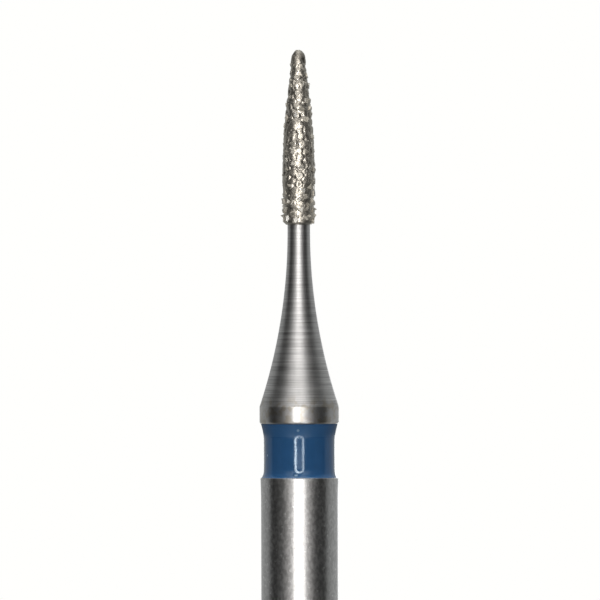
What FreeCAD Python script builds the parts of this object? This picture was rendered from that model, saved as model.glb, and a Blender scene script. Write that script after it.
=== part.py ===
import FreeCAD, Part
import Sketcher
import bisect
import math
import os
import random

# A friction-grip dental bur with a flame-shaped diamond head. It stands tip up on the
# flat back end of its shank, with its axis on Z and its origin at the centre of that end.
# All sizes are in millimetres.

vector = FreeCAD.Vector

# Driving dimensions
DRIVING_SIZES = {
    # Shank
    "shank_diameter": 1.600,
    "shank_length": 10.090,
    "end_chamfer": 0.200,
    "lip_step": 0.012,
    "lip_taper_length": 0.400,
    # Colour groove and its lacquer
    "groove_width": 1.120,
    "groove_depth": 0.160,
    "lacquer_hollow": 0.057,
    "lacquer_bow": 25.000,
    "lower_rim": 0.075,
    "upper_rim": 0.160,
    # Collar and neck
    "collar_step": 0.0275,
    "collar_length": 0.360,
    "collar_round": 0.030,
    "neck_diameter": 0.470,
    "neck_length": 3.790,
    "neck_straight": 0.140,
    # Steel core of the head
    "core_length": 3.547,
    "flame_radius": 11.900,
    "taper_angle": 6.5,
    "tip_flat": 0.060,
    # Nickel bond and diamond grains
    "bond_thickness": 0.074,
    "bond_tip_radius": 0.104,
    "bond_land": 0.030,
    "grain_span": 0.164,
    "grain_spread": 0.020,
    "grain_gap": 0.030,
    "grain_clearance": 0.006,
    "grain_tilt": 20.0,
}

# The bond's face follows the core's long arc in this many straight bands
BOND_BANDS = 3
GRAIN_TRIES = 2500
GRAIN_SEED = 7
PROFILE_STEP = 0.005
SAME_PLACE = 1e-6

# Proportions of the crystals
LONG_STRETCH = 1.15
BLOCK_WIDTH = 0.9
STRUCK_DEPTH = 1.1
STRUCK_LEFT = 1.15

doc = FreeCAD.newDocument("DiamondBur")

# Sheet of the driving dimensions
sheet = doc.addObject("Spreadsheet::Sheet", "Sizes")
for row, (alias, number) in enumerate(DRIVING_SIZES.items(), start=1):
    sheet.set(f"A{row}", alias)
    sheet.set(f"B{row}", str(number))
    sheet.setAlias(f"B{row}", alias)
doc.recompute()


def size(alias):
    """A driving dimension as the sheet gives it."""
    return float(sheet.get(alias))


# Heights and radii that several pieces share
shank_radius = size("shank_diameter") / 2
groove_radius = shank_radius - size("groove_depth")
lip_radius = shank_radius + size("lip_step")
collar_radius = shank_radius + size("collar_step")
neck_radius = size("neck_diameter") / 2

shank_top = size("shank_length")
collar_bottom = shank_top + size("groove_width")
collar_top = collar_bottom + size("collar_length")
head_base = collar_top + size("neck_length")
flare_top = head_base - size("neck_straight")
core_tip = head_base + size("core_length")
core_corner = (size("tip_flat") / 2, core_tip)
taper_angle = math.radians(size("taper_angle"))
flame_rise = size("flame_radius") * math.sin(taper_angle)
flame_drop = size("flame_radius") * (1 - math.cos(taper_angle))
taper_rise = (neck_radius - flame_drop - core_corner[0]) / math.tan(taper_angle)
flame_start = core_tip - taper_rise - flame_rise
flame_centre = (neck_radius - size("flame_radius"), flame_start)
head_axis = vector(0, 0, 1)

# The same places as expressions on the sheet
SHANK_REACH = "Sizes.shank_diameter / 2"
GROOVE_REACH = f"{SHANK_REACH} - Sizes.groove_depth"
WAIST_REACH = f"{SHANK_REACH} - Sizes.lacquer_hollow"
COLLAR_REACH = f"{SHANK_REACH} + Sizes.collar_step"
NECK_REACH = "Sizes.neck_diameter / 2"
SHANK_TOP = "Sizes.shank_length"
HEAD_BASE = f"{SHANK_TOP} + Sizes.groove_width + Sizes.collar_length + Sizes.neck_length"
FLAME_RISE = "Sizes.flame_radius * sin(Sizes.taper_angle)"


# Sketches: x is the distance from the axis, y the height above the back end
def section_sketch(body, name):
    """An empty sketch on the body's own XZ plane."""
    planes = body.Origin.OriginFeatures
    section_plane = next(item for item in planes if item.Role == "XZ_Plane")
    sketch = body.newObject("Sketcher::SketchObject", name)
    sketch.AttachmentSupport = (section_plane, [""])
    sketch.MapMode = "FlatFace"
    return sketch


def polar(centre, radius, angle):
    """The point at that radius and angle from centre."""
    return centre[0] + radius * math.cos(angle), centre[1] + radius * math.sin(angle)


def arc_between(start, end, centre, turns_left=True):
    """The sketch arc about centre from start to end, turning left or right."""
    first, last = (start, end) if turns_left else (end, start)
    angles = [math.atan2(y - centre[1], x - centre[0]) for x, y in (first, last)]
    if angles[1] < angles[0]:
        angles[1] += 2 * math.pi
    circle = Part.Circle(vector(*centre, 0), vector(0, 0, 1), math.dist(start, centre))
    return Part.ArcOfCircle(circle, *angles)


class Outline:
    """A closed outline of named edges, each joined to the next one's start."""

    def __init__(self, sketch, start):
        self.sketch = sketch
        self.last = start
        self.edges = {}

    def line(self, name, end):
        """A straight edge to end."""
        edge = Part.LineSegment(vector(*self.last, 0), vector(*end, 0))
        self._add(name, edge, end, (1, 2))

    def arc(self, name, end, centre, turns_left=True):
        """A round edge to end, about centre."""
        edge = arc_between(self.last, end, centre, turns_left)
        self._add(name, edge, end, (1, 2) if turns_left else (2, 1))

    def close(self, name, smooth=()):
        """The last straight edge, and the joints: tangent after each edge named in smooth."""
        names = [*self.edges, name]
        self.line(name, self.edges[names[0]]["start"][1])
        for before, after in zip(names, names[1:] + names[:1]):
            kind = "Tangent" if before in smooth else "Coincident"
            self.constrain(kind, *self.at(before, "end"), *self.at(after, "start"))

    def _add(self, name, geometry, end, positions):
        index = self.sketch.addGeometry(geometry, False)
        self.edges[name] = {
            "index": index,
            "start": (positions[0], self.last),
            "end": (positions[1], end),
        }
        self.last = end

    def index(self, name):
        """The sketch's number for an edge."""
        return self.edges[name]["index"]

    def geometry(self, name):
        """The solved line or arc of an edge."""
        return self.sketch.Geometry[self.index(name)]

    def at(self, name, end):
        """The sketch's numbers for the start or end point of an edge."""
        return self.index(name), self.edges[name][end][0]

    def constrain(self, kind, *places):
        """A constraint between numbered edges and points."""
        return self.sketch.addConstraint(Sketcher.Constraint(kind, *places))

    def straight(self, kind, *names):
        """Horizontal or vertical edges."""
        for name in names:
            self.constrain(kind, self.index(name))

    def span(self, low, high):
        """The height between two points, as a constraint takes it."""
        heights = [self.edges[edge][end][1][1] for edge, end in (low, high)]
        return "DistanceY", *self.at(*low), *self.at(*high), heights[1] - heights[0]

    def rise(self, name, low, high, expression):
        """The height between two points, bound to the sheet."""
        self.bind(name, expression, *self.span(low, high))

    def measure(self, name, low, high):
        """The height between two points, read off as the other sizes leave it."""
        number = self.constrain(*self.span(low, high))
        self.sketch.setDriving(number, False)
        self.sketch.renameConstraint(number, name)

    def height(self, name, point, expression):
        """A point's height above the back end, bound to the sheet."""
        edge, end = point
        value = self.edges[edge][end][1][1]
        self.bind(name, expression, "DistanceY", -1, 1, *self.at(edge, end), value)

    def reach(self, name, point, expression):
        """A point's distance from the axis, bound to the sheet."""
        edge, end = point
        value = self.edges[edge][end][1][0]
        self.bind(name, expression, "DistanceX", -1, 1, *self.at(edge, end), value)

    def radius(self, name, index, expression):
        """The radius of a numbered arc, bound to the sheet."""
        self.bind(name, expression, "Radius", index, self.sketch.Geometry[index].Radius)

    def bind(self, name, expression, kind, *places_and_value):
        """A named size whose value follows the sheet."""
        number = self.constrain(kind, *places_and_value)
        self.sketch.renameConstraint(number, name)
        self.sketch.setExpression(f"Constraints.{name}", expression)


def revolve(body, sketch, name, kind="PartDesign::Revolution"):
    """A full turn of the sketch about its vertical axis."""
    doc.recompute()
    feature = body.newObject(kind, name)
    feature.Profile = sketch
    feature.ReferenceAxis = (sketch, ["V_Axis"])
    feature.Angle = 360
    doc.recompute()
    return feature


def circle_edge(shape, radius, height):
    """The name of the round edge of that radius and height."""
    for number, edge in enumerate(shape.Edges, start=1):
        if edge.Degenerated or edge.Curve.TypeId != "Part::GeomCircle":
            continue
        offsets = edge.Curve.Radius - radius, edge.Curve.Center.z - height
        if math.hypot(*offsets) < SAME_PLACE:
            return f"Edge{number}"
    raise ValueError(f"no edge of radius {radius} at height {height}")


def flame_lean(long_radius, end_centre, end_radius):
    """How far the flame's long arc turns before it runs straight to the round of its tip."""
    run = (end_centre[0] - flame_centre[0], end_centre[1] - flame_centre[1])
    spread = math.acos((long_radius - end_radius) / math.hypot(*run))
    return math.atan2(run[1], run[0]) - spread


# Steel blank: shank, colour groove, collar, neck and core of the head, turned in one piece
def make_steel_blank():
    body = doc.addObject("PartDesign::Body", "SteelBlank")
    sketch = section_sketch(body, "TurnedProfile")
    lean = flame_lean(size("flame_radius"), core_corner, 0.0)
    taper_start = polar(flame_centre, size("flame_radius"), lean)
    flare_rise = flare_top - collar_top
    flare_reach = collar_radius - neck_radius
    flare_radius = (flare_rise**2 + flare_reach**2) / (2 * flare_reach)
    flare_centre = (neck_radius + flare_radius, flare_top)

    turned = Outline(sketch, (0.0, 0.0))
    turned.line("back", (shank_radius, 0.0))
    turned.line("side", (shank_radius, shank_top - size("lip_taper_length")))
    turned.line("lip", (lip_radius, shank_top))
    turned.line("band", (lip_radius, collar_bottom))
    turned.line("ledge", (collar_radius, collar_bottom))
    turned.line("collar", (collar_radius, collar_top))
    turned.arc("flare", (neck_radius, flare_top), flare_centre, turns_left=False)
    turned.line("neck", (neck_radius, head_base))
    turned.line("core", (neck_radius, flame_start))
    turned.arc("flame", taper_start, flame_centre)
    turned.line("taper", core_corner)
    turned.line("tip", (0.0, core_tip))
    turned.close("axis", smooth=("flare", "core", "flame"))

    turned.constrain("Coincident", *turned.at("back", "start"), -1, 1)
    turned.straight("Horizontal", "back", "ledge", "tip")
    turned.straight("Vertical", "side", "band", "collar", "neck", "core", "axis")
    turned.reach("shank_reach", ("back", "end"), SHANK_REACH)
    turned.rise("shank_rise", ("back", "end"), ("lip", "end"), SHANK_TOP)
    turned.rise("lip_rise", ("lip", "start"), ("lip", "end"), "Sizes.lip_taper_length")
    turned.reach("lip_reach", ("lip", "end"), f"{SHANK_REACH} + Sizes.lip_step")
    turned.rise("band_rise", ("band", "start"), ("band", "end"), "Sizes.groove_width")
    turned.reach("collar_reach", ("ledge", "end"), COLLAR_REACH)
    turned.rise("collar_rise", ("collar", "start"), ("collar", "end"), "Sizes.collar_length")
    turned.reach("neck_reach", ("flare", "end"), NECK_REACH)
    turned.rise("neck_rise", ("collar", "end"), ("neck", "end"), "Sizes.neck_length")
    turned.rise("neck_run", ("neck", "start"), ("neck", "end"), "Sizes.neck_straight")
    turned.rise("core_rise", ("core", "start"), ("tip", "end"), "Sizes.core_length")
    turned.rise("flame_rise", ("flame", "start"), ("flame", "end"), FLAME_RISE)
    turned.radius("flame_radius", turned.index("flame"), "Sizes.flame_radius")
    turned.reach("tip_reach", ("tip", "start"), "Sizes.tip_flat / 2")
    turned.measure("core_run", ("core", "start"), ("core", "end"))
    blank = revolve(body, sketch, "TurnedBlank")

    groove_sketch = section_sketch(body, "GrooveProfile")
    cut = Outline(groove_sketch, (groove_radius, shank_top))
    cut.line("bottom", (collar_radius, shank_top))
    cut.line("open_side", (collar_radius, collar_bottom))
    cut.line("top", (groove_radius, collar_bottom))
    cut.close("floor")
    cut.straight("Horizontal", "bottom", "top")
    cut.straight("Vertical", "open_side", "floor")
    cut.height("groove_bottom", ("bottom", "start"), SHANK_TOP)
    cut.rise("groove_rise", ("bottom", "start"), ("top", "end"), "Sizes.groove_width")
    cut.reach("floor_reach", ("bottom", "start"), GROOVE_REACH)
    cut.reach("open_reach", ("bottom", "end"), COLLAR_REACH)
    groove = revolve(body, groove_sketch, "ColourGroove", "PartDesign::Groove")
    removed = blank.Shape.Volume - groove.Shape.Volume
    ring_volume = math.pi * (lip_radius**2 - groove_radius**2) * size("groove_width")
    if not math.isclose(removed, ring_volume, rel_tol=1e-3):
        raise ValueError("the colour groove isn't cut")

    rounded = body.newObject("PartDesign::Fillet", "CollarRound")
    rounded.Base = (groove, [circle_edge(groove.Shape, collar_radius, collar_bottom)])
    rounded.setExpression("Radius", "Sizes.collar_round")
    doc.recompute()
    bevel = body.newObject("PartDesign::Chamfer", "EndChamfer")
    bevel.Base = (rounded, [circle_edge(rounded.Shape, shank_radius, 0.0)])
    bevel.setExpression("Size", "Sizes.end_chamfer")
    doc.recompute()
    body.Label = "steel_blank"
    return body, turned


# Colour ring: lacquer that fills the groove, a little hollow, and climbs to a rim at each end
def make_colour_ring():
    body = doc.addObject("PartDesign::Body", "ColourRing")
    sketch = section_sketch(body, "LacquerProfile")
    waist = shank_radius - size("lacquer_hollow")
    half_hollow = (size("groove_width") - size("lower_rim") - size("upper_rim")) / 2
    bow_height = shank_top + size("lower_rim") + half_hollow
    bow_centre = (waist + math.sqrt(size("lacquer_bow")**2 - half_hollow**2), bow_height)
    ring = Outline(sketch, (groove_radius, shank_top))
    ring.line("bottom", (shank_radius, shank_top))
    ring.line("lower_rim", (waist, shank_top + size("lower_rim")))
    ring.arc("hollow", (waist, collar_bottom - size("upper_rim")), bow_centre, turns_left=False)
    ring.line("upper_rim", (shank_radius, collar_bottom))
    ring.line("top", (groove_radius, collar_bottom))
    ring.close("floor")

    ring.straight("Horizontal", "bottom", "top")
    ring.straight("Vertical", "floor")
    ring.height("ring_bottom", ("bottom", "start"), SHANK_TOP)
    ring.rise("ring_rise", ("bottom", "start"), ("top", "end"), "Sizes.groove_width")
    ring.reach("floor_reach", ("bottom", "start"), GROOVE_REACH)
    ring.reach("lower_reach", ("bottom", "end"), SHANK_REACH)
    ring.reach("upper_reach", ("top", "start"), SHANK_REACH)
    ring.reach("lower_waist", ("hollow", "start"), WAIST_REACH)
    ring.reach("upper_waist", ("hollow", "end"), WAIST_REACH)
    ring.radius("bow_radius", ring.index("hollow"), "Sizes.lacquer_bow")
    ring.rise("lower_rise", ("lower_rim", "start"), ("lower_rim", "end"), "Sizes.lower_rim")
    ring.rise("upper_rise", ("upper_rim", "start"), ("upper_rim", "end"), "Sizes.upper_rim")
    revolve(body, sketch, "LacquerRing")
    body.Label = "colour_ring"
    return body


# Diamond grains: single crystals that lie on the core, each on a face with a little tilt
def octahedron(stretch):
    """An eight-sided crystal, longer along one axis."""
    x_corners = vector(1, 0, 0), vector(-1, 0, 0)
    y_corners = vector(0, 1, 0), vector(0, -1, 0)
    z_corners = vector(0, 0, stretch), vector(0, 0, -stretch)
    faces = []
    for x_corner in x_corners:
        for y_corner in y_corners:
            for z_corner in z_corners:
                loop = Part.makePolygon([x_corner, y_corner, z_corner, x_corner])
                faces.append(Part.Face(loop))
    return Part.Solid(Part.Shell(faces))


def block(width, depth):
    """A cleaved block of unit height."""
    return Part.makeBox(width, depth, 1, vector(-width / 2, -depth / 2, -0.5))


def struck_block(width, depth, left):
    """A block that has lost two opposite corners, with that much left between."""
    wide = 2 * (width + depth)
    slab = Part.makeBox(wide, wide, left, vector(-wide / 2, -wide / 2, -left / 2))
    diagonal = FreeCAD.Rotation(vector(0, 0, 1), vector(width, depth, 1))
    slab.Placement = FreeCAD.Placement(vector(), diagonal)
    return block(width, depth).common(slab).Solids[0]


class Habit:
    """A crystal form of unit radius, with its corners and the normals of its faces."""

    def __init__(self, solid):
        solid.scale(1 / max(corner.Point.Length for corner in solid.Vertexes))
        self.solid = solid
        self.corners = [corner.Point for corner in solid.Vertexes]
        self.normals = [face.normalAt(0, 0) for face in solid.Faces]

    def lie(self, outward, draw):
        """A turn that lays a face on the core, spun and tilted at random."""
        lay = FreeCAD.Rotation(draw.choice(self.normals), -outward)
        spin = FreeCAD.Rotation(outward, draw.uniform(0, 360))
        across = outward.cross(spin.multVec(lay.multVec(self.corners[0])))
        tilt = FreeCAD.Rotation(across, draw.uniform(0, size("grain_tilt")))
        return tilt * spin * lay


def reach_along(direction, corners):
    """How far a crystal's corners reach from its centre in a direction."""
    return max(corner.dot(direction) for corner in corners)


def keep_apart(centre, corners, other_centre, other_corners):
    """Whether a flat gap between two crystals is at least as wide as the sheet's."""
    between = other_centre - centre
    room = between.Length - size("grain_gap")
    if room > size("grain_span") + size("grain_spread"):
        return True
    direction = between.normalize()
    reach = reach_along(direction, corners) + reach_along(-direction, other_corners)
    return reach <= room


def core_places(turned):
    """Places along the head's core: reach, height, outward slope and the skin area below."""
    places = []
    area = 0.0
    for name in ("core", "flame", "taper"):
        samples = turned.geometry(name).toShape().discretize(Distance=PROFILE_STEP)
        samples.sort(key=lambda point: point.y)
        for low, high in zip(samples, samples[1:]):
            step = high - low
            area += step.Length * ((low.x + high.x) / 2 + size("grain_span") / 2)
            outward = vector(step.y, 0, -step.x).normalize()
            places.append((vector(high.x, 0, high.y), outward, area))
    lowest = head_base + size("grain_span") / 4
    return [place for place in places if place[0].z > lowest]


def make_diamond_grains(turned):
    draw = random.Random(GRAIN_SEED)
    habits = [Habit(octahedron(1)), Habit(octahedron(LONG_STRETCH)),
              Habit(block(BLOCK_WIDTH, 1)), Habit(struck_block(1, STRUCK_DEPTH, STRUCK_LEFT))]
    places = core_places(turned)
    areas = [area for foot, outward, area in places]
    tip_place = vector(0, 0, core_tip), head_axis

    crystals = []
    seated = []
    for attempt in range(GRAIN_TRIES):
        chosen = bisect.bisect(areas, draw.uniform(areas[0], areas[-1]), hi=len(areas) - 1)
        foot, outward = places[chosen][:2] if attempt else tip_place
        around = FreeCAD.Rotation(head_axis, draw.uniform(0, 360))
        foot, outward = around.multVec(foot), around.multVec(outward)
        habit = draw.choice(habits)
        radius = (size("grain_span") + draw.uniform(-1, 1) * size("grain_spread")) / 2
        turn = habit.lie(outward, draw)
        corners = [turn.multVec(corner) * radius for corner in habit.corners]
        centre = foot + outward * (reach_along(-outward, corners) + size("grain_clearance"))
        if all(keep_apart(centre, corners, *other) for other in seated):
            crystal = habit.solid.copy()
            crystal.scale(radius)
            crystal.Placement = FreeCAD.Placement(centre, turn)
            crystals.append(crystal)
            seated.append((centre, corners))

    group = doc.addObject("Part::Feature", "DiamondGrains")
    group.Shape = Part.makeCompound(crystals)
    group.Placement = FreeCAD.Placement()
    group.Label = "diamond_grains"
    return group


# Nickel bond: a plated shell on the core, bevelled at its base, with a pocket for each grain
def make_nickel_bond(blank, grains):
    body = doc.addObject("PartDesign::Body", "BondForm")
    sketch = section_sketch(body, "BondProfile")
    thickness = size("bond_thickness")
    land = size("bond_land")
    side_reach = neck_radius + thickness
    long_radius = size("flame_radius") + thickness
    tip_centre = (0.0, core_tip + thickness - size("bond_tip_radius"))
    lean = flame_lean(long_radius, tip_centre, size("bond_tip_radius"))
    taper_start = polar(flame_centre, long_radius, lean)

    form = Outline(sketch, (0.0, head_base))
    form.line("base", (neck_radius + land, head_base))
    form.line("bevel", (side_reach, head_base + thickness - land))
    form.line("side", (side_reach, flame_start))
    bands = [f"band_{number}" for number in range(1, BOND_BANDS + 1)]
    for number, band in enumerate(bands, start=1):
        form.line(band, polar(flame_centre, long_radius, lean * number / BOND_BANDS))
    form.line("taper", polar(tip_centre, size("bond_tip_radius"), lean))
    form.arc("tip", (0.0, core_tip + thickness), tip_centre)
    form.close("axis", smooth=("taper",))

    long_arc = arc_between((side_reach, flame_start), taper_start, flame_centre)
    guide = sketch.addGeometry(long_arc, True)
    form.constrain("Tangent", *form.at("side", "end"), guide, 1)
    form.constrain("Tangent", *form.at("taper", "start"), guide, 2)
    for band, following in zip(bands, bands[1:]):
        form.constrain("PointOnObject", *form.at(band, "end"), guide)
        form.constrain("Equal", form.index(band), form.index(following))
    form.straight("Horizontal", "base")
    form.straight("Vertical", "side", "axis")
    form.constrain("PointOnObject", *form.at("base", "start"), -2)
    form.constrain("PointOnObject", form.index("tip"), 3, -2)
    form.height("base_height", ("base", "start"), HEAD_BASE)
    form.reach("land_reach", ("base", "end"), f"{NECK_REACH} + Sizes.bond_land")
    form.reach("side_reach", ("bevel", "end"), f"{NECK_REACH} + Sizes.bond_thickness")
    form.rise("bevel_rise", ("bevel", "start"), ("bevel", "end"),
              "Sizes.bond_thickness - Sizes.bond_land")
    form.rise("side_rise", ("base", "start"), ("side", "end"), "TurnedProfile.Constraints.core_run")
    form.rise("tip_rise", ("base", "start"), ("tip", "end"),
              "Sizes.core_length + Sizes.bond_thickness")
    form.radius("long_radius", guide, "Sizes.flame_radius + Sizes.bond_thickness")
    form.radius("tip_radius", form.index("tip"), "Sizes.bond_tip_radius")
    revolve(body, sketch, "BondForm")

    shell = doc.addObject("Part::Cut", "BondShell")
    shell.Base = body
    shell.Tool = blank
    bond = doc.addObject("Part::Cut", "NickelBond")
    bond.Base = shell
    bond.Tool = grains
    doc.recompute()
    bond.Label = "nickel_bond"
    return bond


def check_document(pieces):
    """Stops before anything is written if an object or a piece's solid has failed."""
    failed = [item.Name for item in doc.Objects if {"Invalid", "Error"} & set(item.State)]
    loose = [item.Name for item in doc.Objects
             if item.TypeId == "Sketcher::SketchObject" and not item.FullyConstrained]
    broken = [piece.Label for piece in pieces
              if piece.Shape.isNull() or not piece.Shape.isValid() or not piece.Shape.Solids]
    if failed or loose or broken:
        raise ValueError(f"failed: {failed}, loose: {loose}, broken: {broken}")


steel_blank, turned_outline = make_steel_blank()
colour_ring = make_colour_ring()
diamond_grains = make_diamond_grains(turned_outline)
nickel_bond = make_nickel_bond(steel_blank, diamond_grains)

pieces = [steel_blank, colour_ring, nickel_bond, diamond_grains]
check_document(pieces)
os.makedirs("parts", exist_ok=True)
for piece in pieces:
    piece.Shape.exportStep(f"parts/{piece.Label}.step")
    print(piece.Label, len(piece.Shape.Solids), "solids,", round(piece.Shape.Volume, 4), "mm3")
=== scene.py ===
import math
import random

import bmesh
import bpy
import numpy as np
from mathutils import Euler, Matrix, Vector, noise


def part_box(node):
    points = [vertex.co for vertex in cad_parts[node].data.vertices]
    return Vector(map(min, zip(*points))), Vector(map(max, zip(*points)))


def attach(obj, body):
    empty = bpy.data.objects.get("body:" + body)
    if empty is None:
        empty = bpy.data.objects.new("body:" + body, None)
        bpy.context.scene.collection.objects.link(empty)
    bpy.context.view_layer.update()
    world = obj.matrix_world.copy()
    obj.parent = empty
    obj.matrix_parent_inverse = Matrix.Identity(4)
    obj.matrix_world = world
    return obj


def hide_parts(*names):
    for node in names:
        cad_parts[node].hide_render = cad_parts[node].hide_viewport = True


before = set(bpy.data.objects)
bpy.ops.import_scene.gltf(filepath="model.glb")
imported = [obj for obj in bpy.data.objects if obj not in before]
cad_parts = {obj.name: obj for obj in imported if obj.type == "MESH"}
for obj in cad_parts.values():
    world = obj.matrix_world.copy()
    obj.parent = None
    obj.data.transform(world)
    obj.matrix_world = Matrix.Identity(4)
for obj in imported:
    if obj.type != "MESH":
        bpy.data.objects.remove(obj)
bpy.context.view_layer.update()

bl_info = {
    "name": "Dental Bur",
    "version": (1, 0, 0),
    "blender": (4, 5, 0),
    "location": "3D View > Sidebar > Bur",
    "description": "A friction-grip diamond bur: turned steel, blue lacquer ring and plated grit",
    "category": "Add Mesh",
}

BODY = "root"
MM = 0.001

# Turned pieces: segments round the axis, and the angle in degrees from which an edge is sharp
SEGMENTS = 256
SHARP_ANGLE = 18

# Where the frame's ring, blank and bond lie, in metres
ring_low, ring_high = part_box("colour_ring")
blank_low, blank_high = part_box("steel_blank")
bond_low, bond_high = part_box("nickel_bond")


# Sizes and colours
def length(name, description, default):
    """A size in metres that a user can set."""
    return bpy.props.FloatProperty(
        name=name, description=description, default=default, min=0.0, precision=6, unit="LENGTH")


def colour(name, description, default):
    """A colour that a user can set."""
    return bpy.props.FloatVectorProperty(
        name=name, description=description, default=default, size=3, min=0.0, max=1.0,
        subtype="COLOR")


class BurSteelSizes(bpy.types.PropertyGroup):
    """Sizes of the turned steel blank."""

    shank_radius: length("Shank radius", "Half the ground shank's diameter", ring_high.x)
    shank_length: length("Shank length", "From the back end to the colour groove", ring_low.z)
    end_chamfer: length("End chamfer", "Chamfer round the back end", 0.2 * MM)
    lip_step: length("Lip step", "How far the lip below the groove stands proud", 0.012 * MM)
    lip_taper: length("Lip taper", "Height over which the shank eases out to its lip", 0.4 * MM)
    groove_width: length("Groove width", "Height of the colour groove", ring_high.z - ring_low.z)
    groove_depth: length("Groove depth", "Depth of the colour groove", 0.16 * MM)
    collar_radius: length("Collar radius", "Half the collar's diameter", blank_high.x)
    collar_length: length("Collar length", "Height of the collar", 0.36 * MM)
    collar_round: length("Collar round", "Round on the collar's lower edge", 0.06 * MM)
    edge_break: length("Edge break", "Round that polishing leaves on sharp edges", 0.022 * MM)
    neck_radius: length("Neck radius", "Half the neck's diameter below the head", 0.235 * MM)
    neck_straight: length("Straight neck", "Height of the neck's straight top", 0.14 * MM)
    head_base: length("Head base", "Height of the head's base", bond_low.z)
    core_tip: length("Core tip", "Height of the core's tip inside the head", blank_high.z)


class BurLacquerSizes(bpy.types.PropertyGroup):
    """Sizes of the lacquer in the colour groove."""

    hollow: length("Hollow", "How far the lacquer lies below the shank's face", 0.058 * MM)
    bow: length("Bow", "How much deeper the lacquer lies at mid height", 0.002 * MM)
    ease: length("Ease", "Height over which the lacquer leaves its waist", 0.11 * MM)
    ease_radius: length("Ease radius", "Radius on which it leaves its waist", 0.8 * MM)
    lower_rim: length("Lower rim", "Height over which the lacquer climbs to the lip", 0.1 * MM)
    upper_rim: length("Upper rim", "Height over which it climbs to the collar", 0.22 * MM)


class BurHeadSizes(bpy.types.PropertyGroup):
    """Sizes of the plated head."""

    side_radius: length("Side radius", "Half the bond's diameter", bond_high.x)
    tip_height: length("Tip height", "Height of the bond's tip", bond_high.z)
    tip_round: length("Tip round", "Radius of the bond's tip", 0.104 * MM)
    flame_start: length("Flame start", "Height at which the head begins to narrow", 16.432 * MM)
    flame_radius: length("Flame radius", "Radius of the head's long curve", 11.974 * MM)
    base_land: length("Base land", "Width of the bond's flat base", 0.03 * MM)
    creep: length("Nickel creep", "How far the nickel climbs a crystal", 0.027 * MM)
    fine_span: length("Fine grit size", "Size of the finer crystals", 0.145 * MM)
    base_span: length("Base grit size", "Size of the crystals round the base", 0.19 * MM)


class BurColours(bpy.types.PropertyGroup):
    """Colours of the finishes."""

    steel: colour("Steel", "Ground and turned steel", (0.62, 0.613, 0.607))
    lacquer: colour("Lacquer", "Blue lacquer of the colour ring", (0.027, 0.098, 0.236))
    nickel: colour("Nickel", "Plated nickel of the bond", (0.61, 0.57, 0.5))
    diamond: colour("Diamond", "Crystals of the grit", (0.48, 0.446, 0.372))


# Shader sums
class Value:
    """A shader socket that takes part in plain sums."""

    def __init__(self, finish, socket):
        self.finish = finish
        self.socket = socket

    def __add__(self, other):
        return self.finish.sum("ADD", self, other)

    __radd__ = __add__

    def __sub__(self, other):
        return self.finish.sum("SUBTRACT", self, other)

    def __rsub__(self, other):
        return self.finish.sum("SUBTRACT", other, self)

    def __mul__(self, other):
        return self.finish.sum("MULTIPLY", self, other)

    __rmul__ = __mul__

    def clamped(self):
        """The value held between 0 and 1."""
        return self.finish.sum("ADD", self, 0.0, use_clamp=True)

    def step(self, low, high):
        """A smooth step from 0 at low to 1 at high."""
        settings = {"interpolation_type": "SMOOTHSTEP"}
        sockets = {"Value": self, "From Min": low, "From Max": high}
        return self.finish.node("ShaderNodeMapRange", settings, sockets)


class Finish:
    """The node tree of a material or of the world."""

    def __init__(self, owner):
        owner.use_nodes = True
        self.owner = owner
        self.tree = owner.node_tree
        self.tree.nodes.clear()

    def node(self, kind, settings=None, sockets=None, output=0):
        """A new node: its settings, then its sockets' values or links. Gives one output."""
        made = self.tree.nodes.new(kind)
        for name, setting in (settings or {}).items():
            setattr(made, name, setting)
        for key, content in (sockets or {}).items():
            if isinstance(content, Value):
                self.tree.links.new(content.socket, made.inputs[key])
            else:
                made.inputs[key].default_value = content
        return Value(self, made.outputs[output]) if made.outputs else made

    def sum(self, operation, first, second, use_clamp=False):
        """One Math node on two values."""
        settings = {"operation": operation, "use_clamp": use_clamp}
        return self.node("ShaderNodeMath", settings, {0: first, 1: second})

    def place(self):
        """The point on the surface, in millimetres."""
        point = self.node("ShaderNodeTexCoord", output="Object")
        return self.scaled(point, (1000.0, 1000.0, 1000.0))

    def scaled(self, vector, factors):
        """A vector times a factor on each axis."""
        return self.node("ShaderNodeVectorMath", {"operation": "MULTIPLY"},
                         {0: vector, 1: factors})

    def parts(self, vector):
        """The X, Y and Z values of a vector."""
        return [self.node("ShaderNodeSeparateXYZ", {}, {0: vector}, axis) for axis in "XYZ"]

    def grain(self, vector, scale, detail=2.0, roughness=0.5):
        """Smooth noise, around 0.5."""
        sockets = {"Vector": vector, "Scale": scale, "Detail": detail, "Roughness": roughness}
        return self.node("ShaderNodeTexNoise", {}, sockets)

    def tint(self, mask, low, high):
        """A colour between low and high by a mask."""
        settings = {"data_type": "RGBA", "clamp_factor": True}
        return self.node("ShaderNodeMix", settings, {0: mask, 6: low, 7: high}, 2)

    def shade(self, colour_socket, factor):
        """A colour made lighter or darker by a value."""
        grey = self.node("ShaderNodeCombineXYZ", {}, {0: factor, 1: factor, 2: factor})
        settings = {"data_type": "RGBA", "blend_type": "MULTIPLY", "clamp_factor": True}
        return self.node("ShaderNodeMix", settings, {0: 1.0, 6: colour_socket, 7: grey}, 2)

    def relief(self, height, depth):
        """Normals from a height of 0 to 1 that stands for depth metres."""
        return self.node("ShaderNodeBump", {}, {"Height": height, "Distance": depth})

    def surface(self, sockets):
        """Ends the tree in one shader with these sockets."""
        shader = self.node("ShaderNodeBsdfPrincipled", {}, sockets)
        self.node("ShaderNodeOutputMaterial", {"is_active_output": True}, {"Surface": shader})


def finish_for(name):
    """A new material's finish."""
    return Finish(bpy.data.materials.new(name))


def opaque(rgb):
    """A colour with its alpha."""
    return (*rgb, 1.0)


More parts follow.
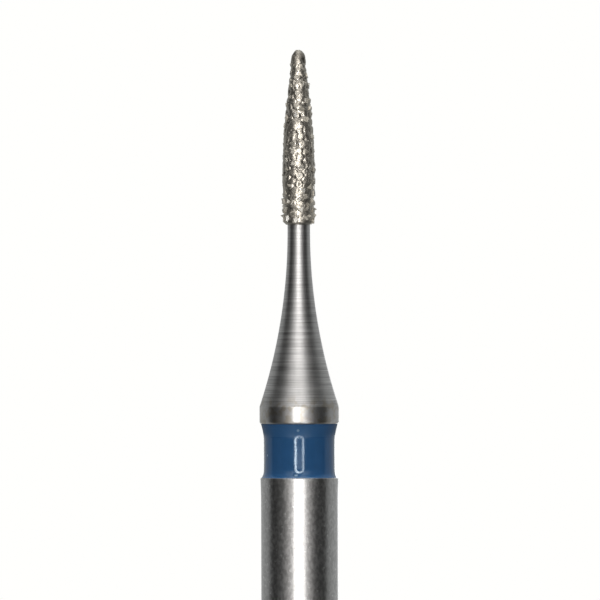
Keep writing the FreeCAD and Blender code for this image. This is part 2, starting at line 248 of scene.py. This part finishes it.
# Shapes
def add_piece(name, mesh, finish, replaced=()):
    """Puts a piece on the bur's body, in place of CAD nodes."""
    piece = bpy.data.objects.new(name, mesh)
    bpy.context.scene.collection.objects.link(piece)
    mesh.materials.clear()
    mesh.materials.append(finish.owner)
    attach(piece, BODY)
    if replaced:
        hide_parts(*replaced)
    return piece


def arc(centre, radius, start, end, count):
    """Profile points on an arc, angles in radians."""
    angles = np.linspace(start, end, count)
    return [(centre[0] + radius * math.cos(a), centre[1] + radius * math.sin(a)) for a in angles]


def run(start, end, count):
    """Profile points on a straight run."""
    steps = np.linspace(0.0, 1.0, count)
    return [(start[0] + (end[0] - start[0]) * s, start[1] + (end[1] - start[1]) * s)
            for s in steps]


def softened(corners, rounds, count):
    """A profile with a small round at each corner; a round of 0 leaves it sharp."""
    points = []
    for index, (corner, radius) in enumerate(zip(corners, rounds)):
        if not radius:
            points.append(tuple(corner))
            continue
        here = Vector(corner)
        before = (Vector(corners[index - 1]) - here).normalized()
        after = (Vector(corners[index + 1]) - here).normalized()
        half = before.angle(after) / 2
        reach = radius / math.tan(half)
        first, last = here + before * reach, here + after * reach
        for step in np.linspace(0.0, 1.0, count):
            bent = first.lerp(here, step).lerp(here.lerp(last, step), step)
            points.append((bent.x, bent.y))
    return points


def turned(name, profile, segments):
    """A mesh turned about the axis from (reach, height) points. A reach of 0 is a pole."""
    turns = np.linspace(0.0, 2 * math.pi, segments, endpoint=False)
    points, rows = [], []
    for reach, height in profile:
        start = len(points)
        if reach == 0.0:
            points.append((0.0, 0.0, height))
            rows.append([start] * segments)
        else:
            points += [(reach * math.cos(a), reach * math.sin(a), height) for a in turns]
            rows.append(list(range(start, start + segments)))
    faces = []
    for low, high in zip(rows, rows[1:]):
        for a in range(segments):
            b = (a + 1) % segments
            loop = [low[a], low[b], high[b], high[a]]
            faces.append(list(dict.fromkeys(loop)))
    mesh = bpy.data.meshes.new(name)
    mesh.from_pydata(points, [], faces)
    mesh.shade_smooth()
    mesh.set_sharp_from_angle(angle=math.radians(SHARP_ANGLE))
    return mesh


# Turned steel
# Heights in millimetres between which the neck's turning lines fade and its gloss rises
LINES_FADE = (13.0, 15.2)
GLOSS_RISE = (13.0, 14.2)


def steel_profile(sizes):
    """The blank's profile, from the centre of its back end to the tip of its core."""
    shank, top = sizes.shank_radius, sizes.shank_length
    floor = shank - sizes.groove_depth
    collar, collar_low = sizes.collar_radius, top + sizes.groove_width
    collar_high = collar_low + sizes.collar_length
    lip = shank + sizes.lip_step
    flare_top = sizes.head_base - sizes.neck_straight
    rise, reach = flare_top - collar_high, collar - sizes.neck_radius
    flare = (rise ** 2 + reach ** 2) / (2 * reach)
    opening = math.asin(rise / flare)
    shade = sizes.edge_break
    corners = [(0.0, 0.0), (shank - sizes.end_chamfer, 0.0), (shank, sizes.end_chamfer),
               (shank, top - sizes.lip_taper), (lip, top), (floor, top), (floor, collar_low),
               (collar, collar_low), (collar, collar_high)]
    rounds = [0, shade, shade, 0, shade, 0, 0, sizes.collar_round, 0]
    points = softened(corners, rounds, 7)
    centre = (sizes.neck_radius + flare, flare_top)
    points += arc(centre, flare, math.pi + opening, math.pi, 90)[1:]
    points += run((sizes.neck_radius, flare_top), (sizes.neck_radius, sizes.head_base), 4)[1:]
    points += run((sizes.neck_radius, sizes.head_base), (0.03 * MM, sizes.core_tip), 6)[1:]
    points.append((0.0, sizes.core_tip))
    return points


def steel_finish(sizes, tone):
    """Steel: ground shank, polished collar, turned neck."""
    finish = finish_for("ground_and_turned_steel")
    spot = finish.place()
    z = finish.parts(spot)[2]
    groove_low = sizes.shank_length / MM
    groove_high = groove_low + sizes.groove_width / MM
    collar_high = groove_high + sizes.collar_length / MM
    on_neck = z.step(collar_high - 0.01, collar_high + 0.02)
    on_shank = 1 - z.step(groove_low + 0.02, groove_low + 0.06)
    on_collar = z.step(groove_high - 0.02, groove_high) * (1 - z.step(collar_high, collar_high + 0.3))

    # Turning lines run round the neck, deeper where it flares; in the colour they are also painted
    # light and shade along their grooves
    lines = finish.grain(finish.scaled(spot, (0.12, 0.12, 15.0)), 1.0, 3.0, 0.6)
    fine_lines = finish.grain(finish.scaled(spot, (0.9, 0.9, 34.0)), 1.0, 2.0, 0.6)
    broken = finish.grain(finish.scaled(spot, (3.0, 3.0, 5.0)), 1.0, 2.0)
    turning_streaks_and_shade = (lines - 0.5) * 0.75 + (fine_lines - 0.5) * 0.8
    turning_streaks_and_shade = turning_streaks_and_shade * (0.5 + broken) * (1.1 - z.step(*LINES_FADE) * 0.6)

    # The ground shank has a fine matt speckle with small bright nicks
    speckle = finish.grain(finish.scaled(spot, (17.0, 17.0, 12.0)), 1.0, 1.0, 0.5).step(0.4, 0.62)
    cloud = finish.grain(finish.scaled(spot, (5.0, 5.0, 2.6)), 1.0, 3.0, 0.6)
    nicks = finish.grain(spot, 15.0, 1.0).step(0.66, 0.74)

    # The polished collar is blotchy, with faint brown stains
    stains = finish.grain(spot, 6.0, 2.0, 0.6).step(0.46, 0.62) * on_collar

    # The neck's colour goes lighter and darker along its turning lines: painted light and shade in
    # the grooves
    tone_and_groove_shade = 1 + turning_streaks_and_shade * on_neck * 1.4 + (speckle - 0.5) * on_shank * 0.22
    tone_and_groove_shade = tone_and_groove_shade + (cloud - 0.5) * (0.2 + on_collar * 0.5) + nicks * on_shank * 0.4
    height = turning_streaks_and_shade * on_neck * 0.2 + (speckle * 0.015 + nicks * 0.08) * on_shank + 0.5
    roughness = 0.4 + (cloud - 0.5) * 0.06 + (speckle - 0.5) * on_shank * 0.07
    roughness = roughness + (turning_streaks_and_shade * 0.3 + 0.1 - z.step(*GLOSS_RISE) * 0.05) * on_neck
    clean = finish.shade(opaque(tone), tone_and_groove_shade)
    finish.surface({
        "Base Color": finish.tint(stains * 0.45, clean, (0.42, 0.36, 0.25, 1.0)),
        "Metallic": 1.0,
        "Roughness": roughness,
        "Anisotropic": 0.7,
        "Anisotropic Rotation": 0.25,
        "Normal": finish.relief(height, 0.003 * MM),
    })
    return finish


class BUR_OT_steel(bpy.types.Operator):
    """Turn the steel blank: shank, colour groove, collar and neck"""

    bl_idname = "bur.steel"
    bl_label = "Steel blank"

    def execute(self, context):
        sizes = context.scene.bur_steel
        mesh = turned("steel_blank", steel_profile(sizes), SEGMENTS)
        finish = steel_finish(sizes, context.scene.bur_colours.steel)
        add_piece("turned_steel", mesh, finish, ["steel_blank"])
        return {"FINISHED"}


# Specks in the blue lacquer: degrees round from the camera's side, height and radius in mm
LACQUER_SPECKS = [(-2, 11.08, 0.036), (-64, 10.56, 0.028), (-6.5, 10.15, 0.03),
                  (-4, 10.15, 0.03), (140, 10.7, 0.025)]


def lacquer_profile(steel, sizes):
    """The ring's profile: a nearly straight waist that climbs to a rim at each end."""
    low, high = steel.shank_length, steel.shank_length + steel.groove_width
    floor = steel.shank_radius - steel.groove_depth
    waist = steel.shank_radius - sizes.hollow
    lower_end = low + sizes.lower_rim + sizes.ease
    upper_end = high - sizes.upper_rim - sizes.ease
    points = [(floor, low)]
    points += [(reach, low + away) for reach, away in rim_curve(steel, sizes, sizes.lower_rim)]
    for share in np.linspace(0.0, 1.0, 26)[1:-1]:
        dip = sizes.bow * 4 * share * (1 - share)
        points.append((waist - dip, lower_end + (upper_end - lower_end) * share))
    upper = rim_curve(steel, sizes, sizes.upper_rim)
    points += [(reach, high - away) for reach, away in reversed(upper)]
    points += [(floor, high), (floor, low)]
    return points


def rim_curve(steel, sizes, rim):
    """From an edge of the groove to the waist: a curl, then a long radius that eases out."""
    waist = steel.shank_radius - sizes.hollow
    lean = math.asin(sizes.ease / sizes.ease_radius)
    climb_for_painted_shade = sizes.hollow - sizes.ease_radius * (1 - math.cos(lean))
    curl = 2 * math.atan2(climb_for_painted_shade, rim) - lean
    radius = rim / (math.sin(curl) - math.sin(lean))
    centre = (steel.shank_radius + radius * math.cos(curl), radius * math.sin(curl))
    points = arc(centre, radius, math.pi + curl, math.pi + lean, 20)
    eased = (waist + sizes.ease_radius, rim + sizes.ease)
    return points + arc(eased, sizes.ease_radius, math.pi + lean, math.pi, 14)[1:]


def lacquer_finish(profile, tone):
    """Glossy lacquer with a few specks of dust, duller where it climbs to the collar."""
    finish = finish_for("blue_lacquer")
    spot = finish.place()
    y, z = finish.parts(spot)[1:]
    reaches, heights = np.array(profile[1:-2]).T / MM
    dull = z.step(heights[-1] - 0.34, heights[-1] - 0.14)
    cloud = finish.grain(spot, 4.0, 3.0)
    orange_peel = finish.grain(spot, 7.0, 2.0)
    dust = finish.grain(spot, 12.0, 0.0).step(0.82, 0.86) * y.step(-0.1, 0.1)
    for bearing, height, size in LACQUER_SPECKS:
        reach, turn = float(np.interp(height, heights, reaches)), math.radians(bearing)
        place = (reach * math.sin(turn), -reach * math.cos(turn), height)
        away = finish.node("ShaderNodeVectorMath", {"operation": "DISTANCE"},
                           {0: spot, 1: place}, "Value")
        dust = dust + (1 - away.step(size * 0.5, size))
    body = finish.shade(opaque(tone), 0.9 + cloud * 0.2)
    finish.surface({
        "Base Color": finish.tint(dust * 0.6, body, (0.3, 0.44, 0.58, 1.0)),
        "Roughness": 0.15 + dust * 0.3 + dull * 0.35,
        "IOR": 1.5,
        "Specular Tint": (0.65, 0.87, 1.0, 1.0),
        "Coat Weight": 0.5 - dull * 0.45,
        "Coat Roughness": 0.09,
        "Normal": finish.relief(orange_peel, 0.004 * MM),
    })
    return finish


class BUR_OT_lacquer(bpy.types.Operator):
    """Fill the colour groove with glossy lacquer"""

    bl_idname = "bur.lacquer"
    bl_label = "Colour ring"

    def execute(self, context):
        steel, sizes = context.scene.bur_steel, context.scene.bur_lacquer
        profile = lacquer_profile(steel, sizes)
        mesh = turned("colour_ring", profile, SEGMENTS)
        finish = lacquer_finish(profile, context.scene.bur_colours.lacquer)
        add_piece("lacquer_ring", mesh, finish, ["colour_ring"])
        return {"FINISHED"}


# Diamond grit
GRIT_SEED = 11
FINE_TRIES = 9000

# Rows of the head's profile that lie on its base and bevel, where no fine crystal sits
BEVEL_ROWS = 12

# Rows of coarse crystals: height above the head's base in millimetres, count, angle of the first
COARSE_ROWS = [(0.17, 8, 0.0), (0.33, 7, 0.0), (0.5, 7, math.pi)]

# Range of the radii as a share of the size that is set, the share of its radius by which a
# crystal's centre lies inside the bond's face, and how near it may lie to others
COARSE_RANGE = (0.85, 1.1)
COARSE_SUNK = 0.25
COARSE_NEARNESS = 0.2
FINE_RANGE = (0.7, 1.15)
FINE_SUNK = (0.15, 0.5)
FINE_NEARNESS = 0.74

# Wear on the crystals' edges, and the distance within which corners of the frame's mesh are one
LARGER_WEAR = 0.005 * MM
FINER_WEAR = 0.004 * MM
SAME_PLACE = 0.0005 * MM


def cad_crystals():
    """The frame's crystals as one clean bmesh, with the centre and radius of each."""
    crystals = bmesh.new()
    crystals.from_mesh(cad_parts["diamond_grains"].data)
    bmesh.ops.remove_doubles(crystals, verts=crystals.verts, dist=SAME_PLACE)
    bmesh.ops.dissolve_limit(
        crystals, angle_limit=math.radians(2), verts=crystals.verts, edges=crystals.edges)
    balls = []
    left = set(crystals.verts)
    while left:
        island, front = set(), [left.pop()]
        while front:
            corner = front.pop()
            island.add(corner)
            near = {edge.other_vert(corner) for edge in corner.link_edges}
            front += near & left
            left -= near
        centre = sum((corner.co for corner in island), Vector()) / len(island)
        balls.append((centre, max((corner.co - centre).length for corner in island)))
    return crystals, balls


def head_profile(steel, sizes):
    """The bond's outer face as (reach, height) points from its base to its tip."""
    base, side = steel.head_base, sizes.side_radius
    land = steel.neck_radius + sizes.base_land
    bevel_top = base + side - land
    centre = (side - sizes.flame_radius, sizes.flame_start)
    tip = (0.0, sizes.tip_height - sizes.tip_round)
    across = Vector((tip[0] - centre[0], tip[1] - centre[1]))
    lean = math.atan2(across.y, across.x) - math.acos(
        (sizes.flame_radius - sizes.tip_round) / across.length)
    taper_low = arc(centre, sizes.flame_radius, lean, lean, 1)[0]
    taper_high = arc(tip, sizes.tip_round, lean, lean, 1)[0]
    points = run((steel.neck_radius * 0.98, base), (land, base), 4)
    points += run((land, base), (side, bevel_top), 8)[1:]
    points += run((side, bevel_top), (side, sizes.flame_start), 90)[1:]
    points += arc(centre, sizes.flame_radius, 0.0, lean, 110)[1:]
    points += run(taper_low, taper_high, 100)[1:]
    points += arc(tip, sizes.tip_round, lean, math.pi / 2, 26)[1:]
    return np.array(points)


def outward_of(profile):
    """Unit directions out of a profile, at each of its points."""
    along = np.gradient(profile, axis=0)
    outward = np.stack([along[:, 1], -along[:, 0]], axis=1)
    return outward / np.linalg.norm(outward, axis=1)[:, None]


def crystal(draw, radius, aim):
    """A chipped crystal of that radius: a jittered block or octahedron, as corner points.
    Where there is an aim, its longest corner points that way."""
    if draw.random() < 0.5:
        corners = [(a, b, c) for a in (-1, 1) for b in (-1, 1) for c in (-1, 1)]
    else:
        corners = [(a, 0, 0) for a in (-1.5, 1.5)] + [(0, a, 0) for a in (-1.5, 1.5)]
        corners += [(0, 0, a) for a in (-1.6, 1.6)]
    stretch = Vector((draw.uniform(0.75, 1.2), draw.uniform(0.75, 1.2), draw.uniform(0.7, 1.1)))
    turn = Euler([draw.uniform(0.0, 2 * math.pi) for axis in range(3)]).to_matrix()
    points = []
    for corner in corners:
        moved = Vector(corner) * stretch
        moved += Vector([draw.uniform(-0.22, 0.22) for axis in range(3)])
        points.append(turn @ moved)
    longest = max(points, key=lambda point: point.length)
    if aim:
        swing = longest.rotation_difference(aim).to_matrix()
        return [swing @ point * (radius / longest.length) for point in points]
    return [point * (radius / longest.length) for point in points]


def added_crystals(steel, sizes, taken):
    """The coarse crystals round the base and the fine ones in the gaps: places, radii, aims."""
    draw = random.Random(GRIT_SEED)
    profile = head_profile(steel, sizes)
    outward = outward_of(profile)
    steps = np.linalg.norm(np.diff(profile, axis=0), axis=1)
    weight = np.concatenate([[0.0], np.cumsum(steps * (profile[1:, 0] + profile[:-1, 0]))])
    centres = [tuple(centre) for centre, radius in taken]
    radii = [radius for centre, radius in taken]
    found = []

    def seat(centre, radius, nearness, aim=None):
        """Keeps a crystal that lies clear enough of the others."""
        gaps = np.linalg.norm(np.array(centres) - np.array(centre), axis=1)
        if np.all(gaps > (np.array(radii) + radius) * nearness):
            centres.append(tuple(centre))
            radii.append(radius)
            found.append((centre, radius, aim))

    for height, count, start in COARSE_ROWS:
        face = np.interp(steel.head_base + height * MM, profile[:, 1], profile[:, 0])
        for step in range(count):
            angle = start + 2 * math.pi * step / count + draw.uniform(-0.1, 0.1)
            radius = sizes.base_span / 2 * draw.uniform(*COARSE_RANGE)
            reach = face - radius * COARSE_SUNK
            aim = Vector((math.cos(angle), math.sin(angle), draw.uniform(-0.5, 0.5)))
            centre = Vector((reach * math.cos(angle), reach * math.sin(angle),
                             steel.head_base + height * MM + draw.uniform(-0.02, 0.02) * MM))
            seat(centre, radius, COARSE_NEARNESS, aim)
    for attempt in range(FINE_TRIES):
        row = int(np.searchsorted(weight, draw.uniform(weight[BEVEL_ROWS], weight[-1])))
        turn = Matrix.Rotation(draw.uniform(0.0, 2 * math.pi), 3, "Z")
        foot = turn @ Vector((profile[row][0], 0.0, profile[row][1]))
        out = turn @ Vector((outward[row][0], 0.0, outward[row][1]))
        radius = sizes.fine_span / 2 * draw.uniform(*FINE_RANGE)
        seat(foot - out * radius * draw.uniform(*FINE_SUNK), radius, FINE_NEARNESS)
    return found


def add_hull(target, points, centre):
    """Adds the crystal round those points to a bmesh."""
    single = bmesh.new()
    for point in points:
        single.verts.new(centre + point)
    hull = bmesh.ops.convex_hull(single, input=single.verts)
    spare = [item for item in hull["geom_interior"] if isinstance(item, bmesh.types.BMVert)]
    bmesh.ops.delete(single, geom=spare, context="VERTS")
    start = len(target.verts)
    for corner in single.verts:
        target.verts.new(corner.co)
    target.verts.ensure_lookup_table()
    single.verts.index_update()
    for face in single.faces:
        target.faces.new([target.verts[start + corner.index] for corner in face.verts])
    single.free()


def grit_mesh(name, crystals, worn):
    """A mesh of crystals with their edges a little worn."""
    bmesh.ops.dissolve_limit(
        crystals, angle_limit=math.radians(4), verts=crystals.verts, edges=crystals.edges)
    bmesh.ops.bevel(crystals, geom=list(crystals.edges), offset=worn, segments=1,
                    affect="EDGES", clamp_overlap=True, profile=0.7)
    mesh = bpy.data.meshes.new(name)
    crystals.to_mesh(mesh)
    crystals.free()
    return mesh


def diamond_finish(tone):
    """Olive grey crystals, each with its own shade and gloss, and a little uneven."""
    finish = finish_for("diamond_grit")
    spot = finish.place()
    own = finish.node("ShaderNodeNewGeometry", output="Random Per Island")
    stain = finish.grain(spot, 12.0, 2.0, 0.5)
    glint = finish.grain(spot, 30.0, 1.0, 0.5)
    body = finish.shade(opaque(tone), 0.45 + own * 0.95 + (stain - 0.5) * 0.8)
    finish.surface({
        "Base Color": body,
        "Metallic": 0.0,
        "Roughness": 0.2 + own * 0.2,
        "IOR": 2.4,
        "Normal": finish.relief(glint, 0.0005 * MM),
    })
    return finish


class BUR_OT_diamonds(bpy.types.Operator):
    """Seat the crystals of the grit: the larger ones of the frame and finer ones between"""

    bl_idname = "bur.diamonds"
    bl_label = "Diamond grit"

    def execute(self, context):
        steel, sizes = context.scene.bur_steel, context.scene.bur_head
        finish = diamond_finish(context.scene.bur_colours.diamond)
        crystals, balls = cad_crystals()
        larger = grit_mesh("larger_crystals", crystals, LARGER_WEAR)
        add_piece("larger_crystals", larger, finish, ["diamond_grains"])
        draw = random.Random(GRIT_SEED)
        fine = bmesh.new()
        for centre, radius, aim in added_crystals(steel, sizes, balls):
            add_hull(fine, crystal(draw, radius, aim), centre)
        finer = grit_mesh("finer_crystals", fine, FINER_WEAR)
        add_piece("finer_crystals", finer, finish)
        return {"FINISHED"}


# Nickel bond
NICKEL_TURNS = 250

# Width of the skirt that climbs a crystal, and the lumps between: noise per metre and height
SKIRT = 0.065 * MM
LUMPS = 8500
FINER_LUMPS = 17000
LUMP_HEIGHT = 0.012 * MM

# Heights above the head's base in millimetres, each with the share of the rise that is left
# there, and heights over which the plating swells at the tip, each with the swell
PLATING_LEFT = [(0.0, 0.0), (0.15, 0.3), (0.55, 0.3), (0.8, 1.0), (3.3, 1.0), (3.5, 0.45)]
TIP_SWELL = [(3.3, 0.0), (3.4, 0.015), (3.5, 0.026), (3.58, 0.01)]

# Heights in millimetres between which the nickel turns dull at the tip
TIP_DULL = (18.7, 18.84)


def nickel_skin(steel, sizes, balls):
    """The plated face: it climbs each crystal and is lumpy between them."""
    profile = head_profile(steel, sizes)
    outward = outward_of(profile)
    turns = np.linspace(0.0, 2 * math.pi, NICKEL_TURNS, endpoint=False)
    cos, sin = np.cos(turns)[None, :], np.sin(turns)[None, :]
    spots = np.stack([profile[:, :1] * cos, profile[:, :1] * sin,
                      np.repeat(profile[:, 1:], NICKEL_TURNS, axis=1)], axis=2)
    ways = np.stack([outward[:, :1] * cos, outward[:, :1] * sin,
                     np.repeat(outward[:, 1:], NICKEL_TURNS, axis=1)], axis=2)
    rise = np.zeros(spots.shape[:2])
    for centre, radius in balls:
        gap = np.linalg.norm(spots - np.array(centre), axis=2) - radius * 0.75
        share = np.clip(1 - gap / SKIRT, 0.0, 1.0)
        rise = np.maximum(rise, sizes.creep * (share * share * (3 - 2 * share)))
    # How far the nickel climbs each crystal, kept for the painted shade that darkens the valleys
    # between them
    climb_for_painted_shade = rise / sizes.creep
    lumps = [noise.noise(Vector(spot) * LUMPS) + 0.2 * noise.noise(Vector(spot) * FINER_LUMPS)
             for spot in spots.reshape(-1, 3)]
    rise += np.array(lumps).reshape(rise.shape) * LUMP_HEIGHT

    # The plating is thinner round the coarse crystals near the base, and at the tip
    above = profile[:, 1] - steel.head_base
    heights, left = np.array(PLATING_LEFT).T
    rise *= np.interp(above, heights * MM, left)[:, None]

    # The tip is blunt, because the nickel lies thick over its large crystals
    heights, swell = np.array(TIP_SWELL).T
    rise += np.interp(above, heights * MM, swell * MM)[:, None]
    spots += ways * rise[:, :, None]
    points = [tuple(spot) for row in spots[:-1] for spot in row]
    points.append((0.0, 0.0, float(spots[-1, :, 2].mean())))
    climb_for_painted_shade = [*climb_for_painted_shade[:-1].ravel(), climb_for_painted_shade[-1].mean()]
    faces = []
    rows = len(spots) - 1
    for row in range(rows):
        for a in range(NICKEL_TURNS):
            b = (a + 1) % NICKEL_TURNS
            low_a, low_b = row * NICKEL_TURNS + a, row * NICKEL_TURNS + b
            if row < rows - 1:
                faces.append((low_a, low_b, low_b + NICKEL_TURNS, low_a + NICKEL_TURNS))
            else:
                faces.append((low_a, low_b, len(points) - 1))
    mesh = bpy.data.meshes.new("nickel_bond")
    mesh.from_pydata(points, [], faces)
    mesh.shade_smooth()
    mesh.attributes.new("climb_for_painted_shade", "FLOAT", "POINT").data.foreach_set("value", climb_for_painted_shade)
    return mesh


def nickel_finish(tone):
    """Electroplated nickel: satin, warm grey, with painted shade that darkens it between the
    crystals, and dull at the tip.
    """
    finish = finish_for("plated_nickel")
    spot = finish.place()
    pits = finish.grain(spot, 9.0, 2.0, 0.5)
    nodules = finish.grain(spot, 10.0, 1.0, 0.5)
    at_tip = finish.parts(spot)[2].step(*TIP_DULL)
    climb_for_painted_shade = finish.node("ShaderNodeAttribute", {"attribute_name": "climb_for_painted_shade"}, output="Fac")
    # Painted shade: the nickel's colour is darker in the valleys between the crystals, where it
    # climbs least
    bright = 0.45 + climb_for_painted_shade.step(0.0, 0.75) * 0.55 + (pits - 0.5) * 0.4 - at_tip * 0.25
    finish.surface({
        "Base Color": finish.shade(opaque(tone), bright),
        "Metallic": 1.0,
        "Roughness": 0.28 + pits * 0.24 + at_tip * 0.15,
        "Normal": finish.relief(nodules, 0.006 * MM),
    })
    return finish


class BUR_OT_nickel(bpy.types.Operator):
    """Plate the head with nickel that climbs each crystal"""

    bl_idname = "bur.nickel"
    bl_label = "Nickel bond"

    def execute(self, context):
        steel, sizes = context.scene.bur_steel, context.scene.bur_head
        crystals, balls = cad_crystals()
        crystals.free()
        balls += [added[:2] for added in added_crystals(steel, sizes, balls)]
        mesh = nickel_skin(steel, sizes, balls)
        finish = nickel_finish(context.scene.bur_colours.nickel)
        add_piece("nickel_skin", mesh, finish, ["nickel_bond"])
        return {"FINISHED"}


# Camera, floor and light
PIXELS_PER_MM = 48.03
CAMERA_DISTANCE = 250 * MM
CAMERA_HEIGHT = 13.791 * MM
CAMERA_SIDE = 0.021 * MM
CAMERA_ROLL = 0.15
SENSOR = 36.0
PICTURE_PIXELS = 600
FLOOR_RADIUS = 230 * MM
FLOOR_DEPTH = 0.5 * MM
FLOOR_SEGMENTS = 96

# The ring light's inner and outer soft edge, in degrees off the camera's line
RING_INSIDE = (9.4, 10.0)
RING_OUTSIDE = (14.8, 15.4)

# Brightness of the room's lights
RING_LEFT = 15.5
RING_LOSS = 6.5
LENS = 1.8
OVERHEAD = 1.5
REAR_PANEL = 2.4
SPILL = 0.25
SOFT_BOX = 0.55
BOX_EDGE = 0.85
BACK_WALL = 0.28
BACK_LIGHT = 0.17
DARK_SIDE = 0.02


def add_camera():
    """The camera: level, far off, with the bur's axis near the middle."""
    view = bpy.data.cameras.new("camera")
    view.sensor_width = SENSOR
    view.lens = SENSOR * CAMERA_DISTANCE / (PICTURE_PIXELS / PIXELS_PER_MM * MM)
    view.clip_start = 1 * MM
    view.clip_end = 10.0
    eye = bpy.data.objects.new("camera", view)
    eye.location = (CAMERA_SIDE, -CAMERA_DISTANCE, CAMERA_HEIGHT)
    level = Euler((math.pi / 2, 0.0, 0.0)).to_matrix()
    roll = Matrix.Rotation(math.radians(CAMERA_ROLL), 3, "Y")
    eye.rotation_euler = (roll @ level).to_euler()
    bpy.context.scene.collection.objects.link(eye)
    bpy.context.scene.camera = eye


def add_floor():
    """A pale round floor under the bur."""
    profile = [(0.0, 0.0), (FLOOR_RADIUS, 0.0), (FLOOR_RADIUS, -FLOOR_DEPTH), (0.0, -FLOOR_DEPTH)]
    mesh = turned("floor", profile, FLOOR_SEGMENTS)
    finish = finish_for("pale_floor")
    mottle = finish.grain(finish.place(), 0.8, 3.0)
    finish.surface({
        "Base Color": finish.tint(mottle, (0.83, 0.83, 0.82, 1.0), (0.87, 0.87, 0.86, 1.0)),
        "Roughness": 0.85,
    })
    floor = bpy.data.objects.new("floor", mesh)
    bpy.context.scene.collection.objects.link(floor)
    mesh.materials.append(finish.owner)
    floor.visible_glossy = False
    floor.visible_diffuse = False


def add_room():
    """The room: a ring light and two soft boxes at the camera, dark sides and a grey back."""
    room = bpy.data.worlds.new("room")
    bpy.context.scene.world = room
    finish = Finish(room)
    way = finish.node("ShaderNodeTexCoord", output="Generated")
    x, y, z = finish.parts(way)
    toward = y * -1.0
    bearing = finish.sum("ARCTAN2", x, toward) * (180 / math.pi)

    # The lights stand a little to the left, more so at the sides and high up
    aside = finish.node("ShaderNodeMath", {"operation": "ABSOLUTE"}, {0: bearing})
    shift = 0.4 + aside.step(30, 60) * 3.8 + z.clamped() * 12
    around = finish.node("ShaderNodeMath", {"operation": "ABSOLUTE"}, {0: bearing + shift})
    off_axis = finish.node("ShaderNodeMath", {"operation": "ARCCOSINE"}, {0: toward})
    off_axis = off_axis * (180 / math.pi)
    height = finish.node("ShaderNodeMath", {"operation": "ABSOLUTE"}, {0: z})

    # A soft box on each side of the camera, brightest at its inner edge, with some spill round
    # it, then dark sides, and a grey wall behind the bur that is lit from the far end
    spill = (0.4 + around.step(0, 14) * 0.6) * (1 - around.step(20, 75)) * SPILL
    soft_box = around.step(14, 19) * (1 - around.step(32, 42)) * SOFT_BOX
    box_edge = around.step(14, 19) * (1 - around.step(19, 25)) * BOX_EDGE
    back = around.step(93, 100) * BACK_WALL + around.step(100, 160) * BACK_LIGHT
    grey = spill + soft_box + box_edge + back + DARK_SIDE
    ring = off_axis.step(*RING_INSIDE) * (1 - off_axis.step(*RING_OUTSIDE))
    lens = (1 - off_axis.step(8.5, 9.3)) * (1 - height.step(0.015, 0.03))
    level = (1 - height.step(0.1, 0.17)) * (1 - around.step(50, 65))
    overhead = z.step(0.85, 0.95)
    panel = around.step(166, 174) * (1 - height.step(0.4, 0.6))
    ring_glow = ring * (RING_LEFT - x.step(-0.1, 0.1) * RING_LOSS)
    glow = grey * (1 - level) + ring_glow + lens * LENS
    glow = glow + overhead * OVERHEAD + panel * REAR_PANEL
    tone = finish.tint(around.step(40, 60), (1.0, 0.985, 0.968, 1.0), (0.965, 0.99, 0.985, 1.0))

    seen = finish.node("ShaderNodeLightPath", output="Is Camera Ray")
    white = finish.node("ShaderNodeBackground", {}, {"Color": (1.0, 1.0, 0.985, 1.0)})
    light = finish.node("ShaderNodeBackground", {}, {"Color": tone, "Strength": glow})
    both = finish.node("ShaderNodeMixShader", {}, {0: seen, 1: light, 2: white})
    finish.node("ShaderNodeOutputWorld", {}, {"Surface": both})


def add_top_light():
    """A broad soft light from overhead for the floor."""
    lamp = bpy.data.lights.new("overhead", "SUN")
    lamp.angle = math.radians(50)
    lamp.energy = 1.9
    light = bpy.data.objects.new("overhead", lamp)
    light.visible_glossy = False
    bpy.context.scene.collection.objects.link(light)


class BUR_OT_stage(bpy.types.Operator):
    """Set up the camera, the pale floor and the soft studio light"""

    bl_idname = "bur.stage"
    bl_label = "Stage"

    def execute(self, context):
        context.scene.view_settings.view_transform = "Standard"
        add_camera()
        add_floor()
        add_room()
        add_top_light()
        return {"FINISHED"}


class BUR_PT_bur(bpy.types.Panel):
    """The bur's sizes, colours and steps"""

    bl_label = "Dental bur"
    bl_space_type = "VIEW_3D"
    bl_region_type = "UI"
    bl_category = "Bur"

    def draw(self, context):
        for step in STEPS:
            self.layout.operator(step.bl_idname)
        for group in GROUPS:
            settings = getattr(context.scene, group)
            for name in settings.__annotations__:
                self.layout.prop(settings, name)


STEPS = [BUR_OT_stage, BUR_OT_steel, BUR_OT_lacquer, BUR_OT_diamonds, BUR_OT_nickel]
GROUPS = {
    "bur_steel": BurSteelSizes,
    "bur_lacquer": BurLacquerSizes,
    "bur_head": BurHeadSizes,
    "bur_colours": BurColours,
}


def register():
    for part in [*GROUPS.values(), *STEPS, BUR_PT_bur]:
        bpy.utils.register_class(part)
    for name, group in GROUPS.items():
        setattr(bpy.types.Scene, name, bpy.props.PointerProperty(type=group))


def unregister():
    for name in GROUPS:
        delattr(bpy.types.Scene, name)
    for part in [BUR_PT_bur, *reversed(STEPS), *GROUPS.values()]:
        bpy.utils.unregister_class(part)


def main():
    register()
    bpy.ops.bur.stage()
    bpy.ops.bur.steel()
    bpy.ops.bur.lacquer()
    bpy.ops.bur.diamonds()
    bpy.ops.bur.nickel()


if __name__ == "__main__":
    main()
